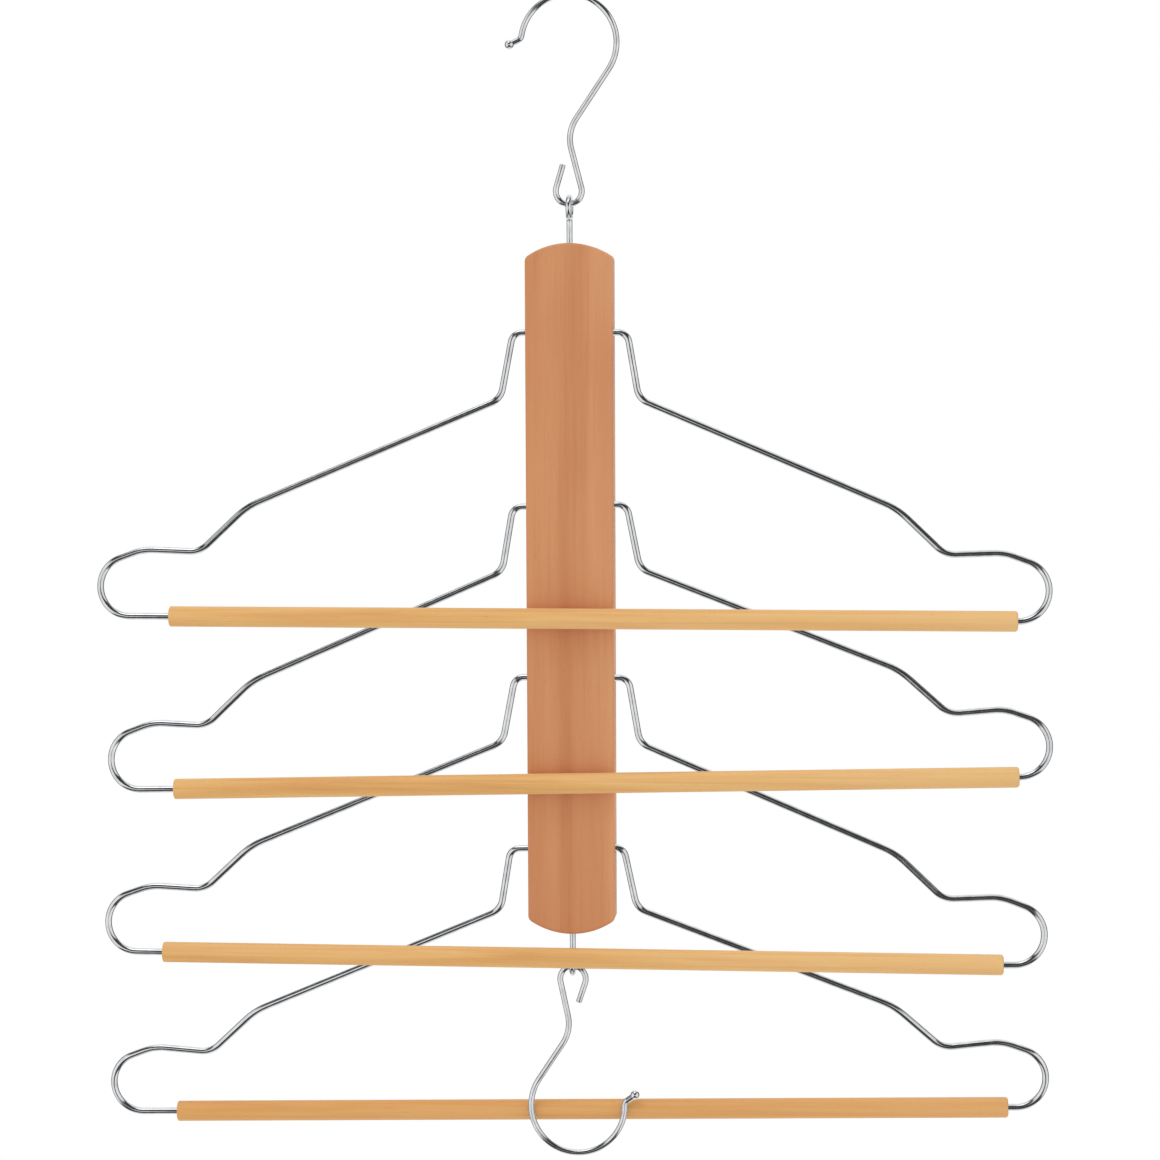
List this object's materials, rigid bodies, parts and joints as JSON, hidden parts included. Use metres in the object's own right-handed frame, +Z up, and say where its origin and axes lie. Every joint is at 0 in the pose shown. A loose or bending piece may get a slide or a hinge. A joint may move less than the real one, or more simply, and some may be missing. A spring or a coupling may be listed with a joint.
{
  "type": "tiered clothes hanger",
  "caption": "Tiered clothes hanger: flat wooden centre board on a wire hook, carrying stacked bent-wire hanger frames with loose round wooden bars, and a second hook below.",
  "frame": {"origin": "centre of the top hook's bowl, where the rail passes through", "axes": "+X across to the viewer's right, -Y to the front, +Z up along the board"},
  "size_m": [0.4431, 0.0242, 0.5403],
  "materials": {
    "chrome_wire": "bright chrome-plated steel wire",
    "board_wood": "reddish hardwood under thin satin lacquer, grain along the board",
    "bar_wood": "pale honey-coloured softwood dowel under thin satin lacquer"
  },
  "bodies": {
    "top_hook": {"top_hook": "chrome_wire"},
    "board": {"centre_board": "board_wood", "top_screw_eye": "chrome_wire", "bottom_screw_eye": "chrome_wire"},
    "bottom_hook": {"bottom_hook": "chrome_wire"},
    "tier_1": {"tier_1_wire": "chrome_wire"},
    "bar_1": {"tier_1_bar": "bar_wood"},
    "tier_2": {"tier_2_wire": "chrome_wire"},
    "bar_2": {"tier_2_bar": "bar_wood"},
    "tier_3": {"tier_3_wire": "chrome_wire"},
    "bar_3": {"tier_3_bar": "bar_wood"},
    "tier_4": {"tier_4_wire": "chrome_wire"},
    "bar_4": {"tier_4_bar": "bar_wood"}
  },
  "joints": [
    {"name": "board_swing", "type": "hinge", "parent": "top_hook", "child": "board", "pos_m": [0, 0, -0.07359], "axis": [-1, 0, 0], "range_deg": [-80, 80]},
    {"name": "tier_1_swing", "type": "hinge", "parent": "board", "child": "tier_1", "pos_m": [0, 0, -0.13239], "axis": [-1, 0.0002, 0.0017], "range_deg": [0, 165]},
    {"name": "tier_2_swing", "type": "hinge", "parent": "board", "child": "tier_2", "pos_m": [0, 0, -0.21239], "axis": [-0.9997, -0.0021, -0.0226], "range_deg": [0, 165]},
    {"name": "tier_3_swing", "type": "hinge", "parent": "board", "child": "tier_3", "pos_m": [0, 0, -0.29239], "axis": [-1, 0.0001, 0.0017], "range_deg": [0, 165]},
    {"name": "tier_4_swing", "type": "hinge", "parent": "board", "child": "tier_4", "pos_m": [0, 0, -0.37239], "axis": [0.9997, -0.0003, 0.0227], "range_deg": [0, 165]},
    {"name": "bottom_hook_swing", "type": "hinge", "parent": "board", "child": "bottom_hook", "pos_m": [0, 0, -0.42839], "axis": [-1, 0, 0], "range_deg": [0, 60]},
    {"name": "bar_1_spin", "type": "hinge", "parent": "tier_1", "child": "bar_1", "pos_m": [0.00927, -0.01205, -0.26386], "axis": [1, -0.0002, -0.0017], "continuous": true},
    {"name": "bar_2_spin", "type": "hinge", "parent": "tier_2", "child": "bar_2", "pos_m": [0.01041, -0.01203, -0.34013], "axis": [0.9997, 0.0021, 0.0226], "continuous": true},
    {"name": "bar_3_spin", "type": "hinge", "parent": "tier_3", "child": "bar_3", "pos_m": [0.00377, -0.01115, -0.42242], "axis": [1, -0.0001, -0.0017], "continuous": true},
    {"name": "bar_4_spin", "type": "hinge", "parent": "tier_4", "child": "bar_4", "pos_m": [0.00682, 0.0018, -0.49676], "axis": [0.9997, -0.0003, 0.0227], "continuous": true}
  ],
  "couplings": [
    {"joint": "tier_2_swing", "follows": "tier_1_swing", "ratio": 1},
    {"joint": "tier_3_swing", "follows": "tier_1_swing", "ratio": 1}
  ]
}
